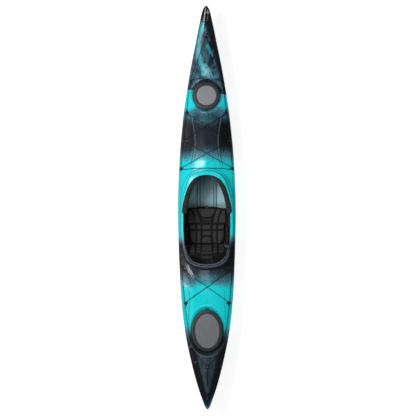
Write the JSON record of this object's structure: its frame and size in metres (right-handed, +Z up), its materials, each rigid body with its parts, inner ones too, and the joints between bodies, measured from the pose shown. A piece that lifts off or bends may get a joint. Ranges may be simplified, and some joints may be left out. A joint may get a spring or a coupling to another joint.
{
  "type": "sea kayak",
  "caption": "Touring kayak with a keyhole cockpit, two lift-off hatches, padded seat, foot braces, thigh braces and deck rigging; carries one paddler.",
  "frame": {"origin": "bottom centre of the bounding box, on the flat of the keel under the cockpit", "axes": "+Y towards the bow, +X to starboard, +Z up; the kayak stands on its keel"},
  "size_m": [0.616, 4.268, 0.3716],
  "materials": {
    "hull_plastic": "satin",
    "black_plastic": "satin",
    "hatch_rubber": "matte",
    "hatch_panel": "matte",
    "grey_plastic": "satin",
    "bulkhead_foam": "matte",
    "seat_fabric": "matte",
    "webbing": "matte",
    "bungee": "matte",
    "deck_line": "matte",
    "handle_rope": "matte",
    "rail_alloy": "satin"
  },
  "bodies": {
    "kayak": {"hull": "hull_plastic", "bow_bulkhead": "bulkhead_foam", "stern_bulkhead": "bulkhead_foam", "starboard_eye_bow_hatch": "black_plastic", "starboard_eye_fore": "black_plastic", "starboard_eye_mid": "black_plastic", "starboard_eye_cockpit": "black_plastic", "starboard_eye_aft_cockpit": "black_plastic", "starboard_eye_aft": "black_plastic", "starboard_eye_stern_hatch": "black_plastic", "port_eye_bow_hatch": "black_plastic", "port_eye_fore": "black_plastic", "port_eye_mid": "black_plastic", "port_eye_cockpit": "black_plastic", "port_eye_aft_cockpit": "black_plastic", "port_eye_aft": "black_plastic", "port_eye_stern_hatch": "black_plastic", "bow_centre_eye": "black_plastic", "stern_centre_eye": "black_plastic", "starboard_bow_line": "deck_line", "starboard_stern_line": "deck_line", "port_bow_line": "deck_line", "port_stern_line": "deck_line", "front_deck_bungee": "bungee", "bow_hatch_bungee": "bungee", "rear_bungee_under": "bungee", "rear_bungee_over": "bungee", "bow_handle_rib": "black_plastic", "stern_handle_rib": "black_plastic", "paddle_keeper_knob": "black_plastic", "paddle_keeper_eye": "black_plastic", "paddle_keeper_bungee": "bungee", "paddle_keeper_hook": "black_plastic", "starboard_thigh_brace": "black_plastic", "starboard_thigh_pad": "seat_fabric", "port_thigh_brace": "black_plastic", "port_thigh_pad": "seat_fabric", "seat_pan": "black_plastic", "seat_base_pad": "seat_fabric", "starboard_hip_pad": "seat_fabric", "starboard_back_strap": "webbing", "starboard_foot_rail": "rail_alloy", "port_hip_pad": "seat_fabric", "port_back_strap": "webbing", "port_foot_rail": "rail_alloy"},
    "bow_hatch": {"bow_hatch_rim": "hatch_rubber", "bow_hatch_panel": "hatch_panel"},
    "stern_hatch": {"stern_hatch_rim": "hatch_rubber", "stern_hatch_panel": "hatch_panel"},
    "bow_handle": {"bow_handle_rope": "handle_rope", "bow_toggle": "black_plastic"},
    "stern_handle": {"stern_handle_rope": "handle_rope", "stern_toggle": "black_plastic"},
    "seat_back": {"seat_back_frame": "black_plastic", "seat_back_pad": "seat_fabric", "seat_back_adjuster": "grey_plastic"},
    "leg_lifter": {"leg_lifter_pad": "seat_fabric"},
    "port_pedal": {"port_foot_pedal": "black_plastic"},
    "starboard_pedal": {"starboard_foot_pedal": "black_plastic"},
    "drain_plug": {"drain_plug": "black_plastic"}
  },
  "joints": [
    {"name": "bow_hatch_lift", "type": "slide", "parent": "kayak", "child": "bow_hatch", "axis": [0, 0, 1], "range_m": [0, 0.15]},
    {"name": "stern_hatch_lift", "type": "slide", "parent": "kayak", "child": "stern_hatch", "axis": [0, 0, 1], "range_m": [0, 0.15]},
    {"name": "bow_handle_swing", "type": "hinge", "parent": "kayak", "child": "bow_handle", "pos_m": [0, 2.08615, 0.34557], "axis": [-1, 0, 0], "range_deg": [0, 110]},
    {"name": "stern_handle_swing", "type": "hinge", "parent": "kayak", "child": "stern_handle", "pos_m": [0, -2.08596, 0.32073], "axis": [1, 0, 0], "range_deg": [0, 110]},
    {"name": "seat_back_recline", "type": "hinge", "parent": "kayak", "child": "seat_back", "pos_m": [0, -0.404, 0.084], "axis": [1, 0, 0], "range_deg": [-48, 0]},
    {"name": "leg_lifter_tilt", "type": "hinge", "parent": "kayak", "child": "leg_lifter", "pos_m": [0, -0.172, 0.086], "axis": [1, 0, 0], "range_deg": [0, 12]},
    {"name": "port_pedal_slide", "type": "slide", "parent": "kayak", "child": "port_pedal", "axis": [0, 1, 0], "range_m": [-0.2, 0.1]},
    {"name": "starboard_pedal_slide", "type": "slide", "parent": "kayak", "child": "starboard_pedal", "axis": [0, 1, 0], "range_m": [-0.2, 0.1]},
    {"name": "drain_plug_turn", "type": "hinge", "parent": "kayak", "child": "drain_plug", "pos_m": [-0.12214, -1.64001, 0.2794], "axis": [-0.3607, -0.0149, 0.9326], "continuous": true}
  ]
}
